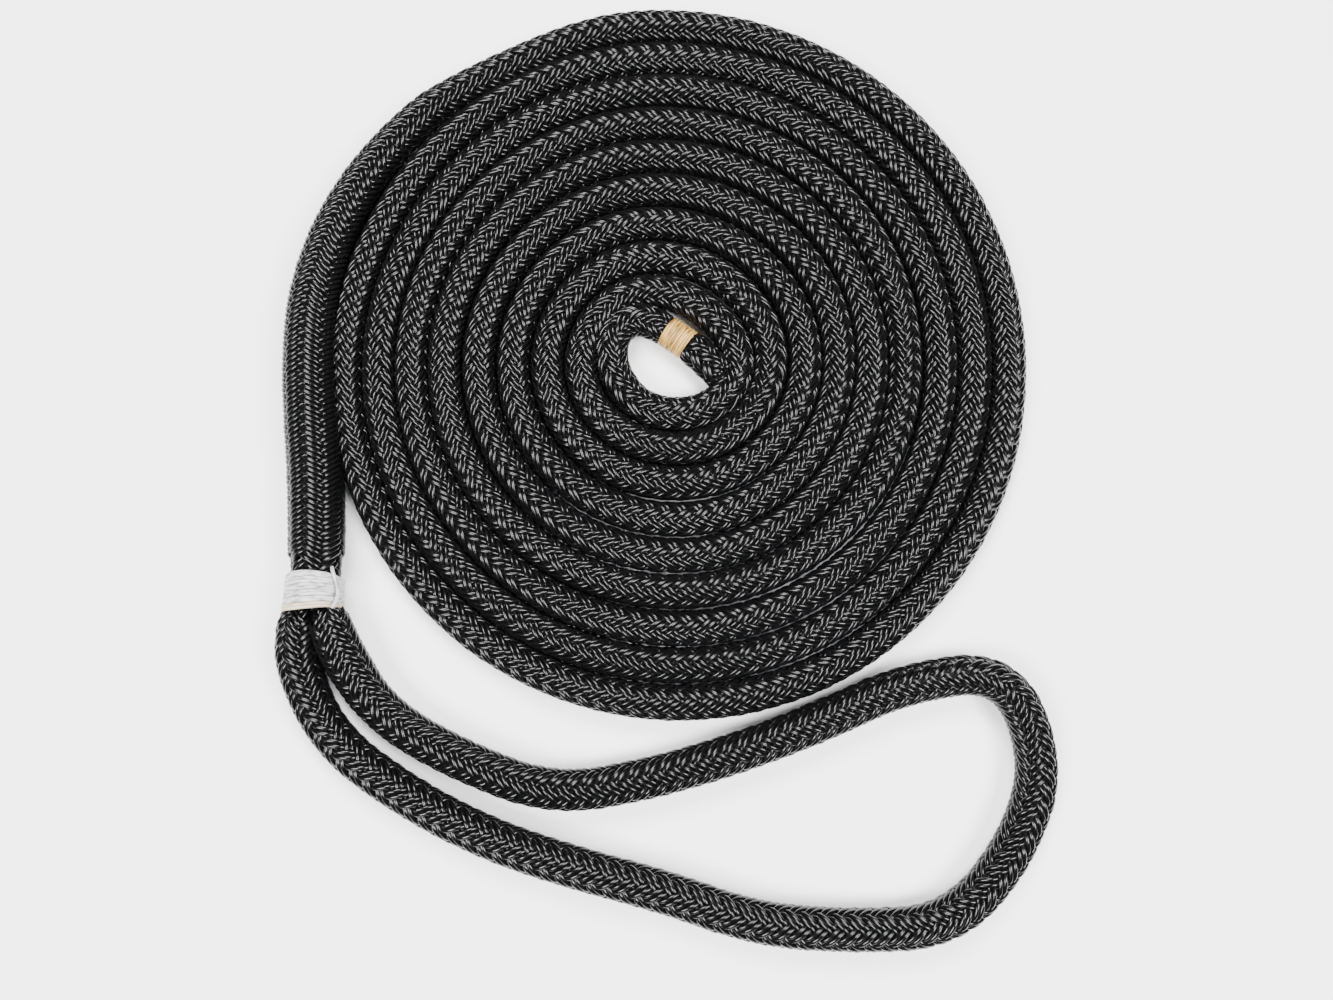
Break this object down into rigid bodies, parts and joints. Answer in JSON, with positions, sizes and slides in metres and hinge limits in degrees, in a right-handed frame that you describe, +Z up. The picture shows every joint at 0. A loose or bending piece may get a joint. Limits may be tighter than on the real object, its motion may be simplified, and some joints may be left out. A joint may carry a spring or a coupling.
{
  "type": "coiled dock line",
  "caption": "Black double-braid nylon dock line laid in a flat spiral coil, with a spliced and whipped eye at one end and a whipped, heat-sealed bitter end in the middle.",
  "frame": {"origin": "on the floor under the middle of the whole line as laid", "axes": "+Z up from the floor, +Y from the eye towards the far side of the coil, +X to the right of that"},
  "size_m": [0.2848, 0.3533, 0.0212],
  "materials": {
    "black_nylon_braid": "glossy black filament nylon, sixteen-carrier braid",
    "nylon_core": "matt white braided nylon core",
    "white_twine": "waxed white whipping twine",
    "cream_twine": "waxed cream whipping twine",
    "melted_nylon": "heat-sealed black nylon, uneven gloss"
  },
  "bodies": {
    "root": {"rope_coil": "black_nylon_braid", "splice_cover": "black_nylon_braid", "eye_cover": "black_nylon_braid", "bitter_end_cover": "black_nylon_braid", "standing_core": "nylon_core", "buried_core_tail": "nylon_core", "buried_cover_tail": "black_nylon_braid", "eye_core": "nylon_core", "bitter_end_core": "nylon_core", "throat_whipping": "white_twine", "throat_riding_turn": "white_twine", "bitter_end_whipping": "cream_twine", "sealed_tip": "melted_nylon"}
  },
  "joints": []
}
